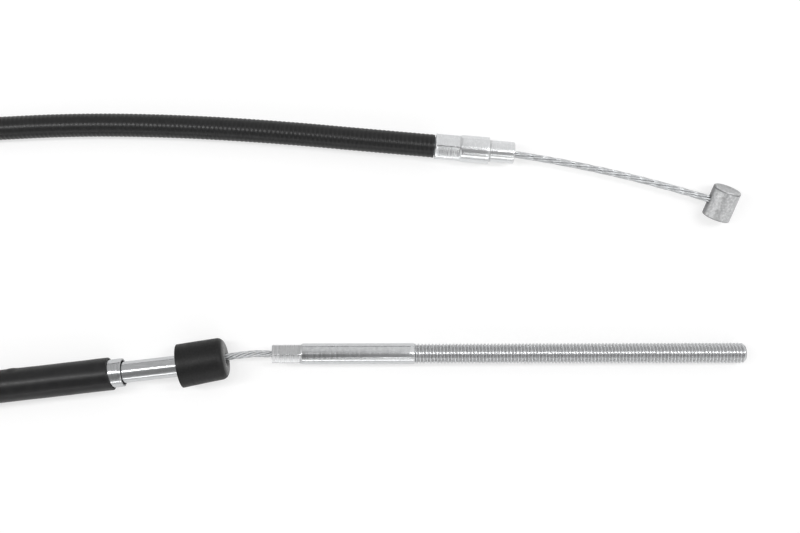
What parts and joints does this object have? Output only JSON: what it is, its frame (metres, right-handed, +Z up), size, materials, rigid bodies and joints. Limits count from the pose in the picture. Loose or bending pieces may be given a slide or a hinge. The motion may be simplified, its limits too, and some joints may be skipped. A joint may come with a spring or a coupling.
{
  "type": "drum brake control cable",
  "caption": "Sheathed pull cable for a drum brake: crimped ferrule, bare wire and barrel nipple at one end, guide tube, rubber boot and threaded adjuster rod at the other, its housing coiled.",
  "frame": {"origin": "on the surface that the cable lies on, under the middle of the box round its two ends and fittings, without the coiled housing", "axes": "+X towards the adjuster rod's tip, along the fittings; +Y from the brake end to the lever end; +Z up"},
  "size_m": [0.3311, 0.0904, 0.0162],
  "materials": {
    "ribbed_jacket": "satin black, finely ribbed plastic",
    "spiral_steel": "close-wound flat steel spiral",
    "liner_plastic": "milky low-friction plastic",
    "stranded_steel": "galvanised stranded steel wire",
    "tie_plastic": "black nylon tie",
    "plated_steel": "bright zinc-plated steel, lightly drawn",
    "plated_rod": "zinc-plated steel rod, plain shank and rolled thread",
    "cast_zinc": "dull mottled die-cast zinc",
    "smooth_sleeve": "smooth satin black sleeve",
    "boot_rubber": "matt black moulded rubber"
  },
  "bodies": {
    "housing": {"outer_jacket_lever_run": "ribbed_jacket", "outer_jacket_coil": "ribbed_jacket", "outer_jacket_brake_run": "ribbed_jacket", "steel_conduit_lever_run": "spiral_steel", "steel_conduit_coil": "spiral_steel", "steel_conduit_brake_run": "spiral_steel", "liner_lever_run": "liner_plastic", "liner_coil": "liner_plastic", "liner_brake_run": "liner_plastic", "inner_wire_lever_run": "stranded_steel", "inner_wire_coil": "stranded_steel", "inner_wire_brake_run": "stranded_steel", "coil_tie_1": "tie_plastic", "coil_tie_2": "tie_plastic", "lever_ferrule": "plated_steel", "brake_sleeve": "smooth_sleeve", "brake_ferrule": "plated_steel", "guide_tube": "plated_steel"},
    "rod": {"adjuster_rod": "plated_rod", "brake_wire": "stranded_steel"},
    "lever_end": {"lever_wire": "stranded_steel", "barrel_nipple": "cast_zinc"},
    "boot": {"dust_boot": "boot_rubber"}
  },
  "joints": [
    {"name": "rod_draw", "type": "slide", "parent": "housing", "child": "rod", "axis": [0.9934, 0.1149, 0], "range_m": [-0.007, 0.036]},
    {"name": "lever_wire_draw", "type": "hinge", "parent": "housing", "child": "lever_end", "pos_m": [-0.00671, -0.34196, 0.00539], "axis": [0, 0, -1], "range_deg": [-5.44, 1.07]},
    {"name": "boot_slide", "type": "slide", "parent": "housing", "child": "boot", "axis": [0.9934, 0.1149, 0], "range_m": [0, 0.0045]}
  ],
  "couplings": [
    {"joint": "lever_wire_draw", "follows": "rod_draw", "rad_per_m": -2.6316}
  ]
}
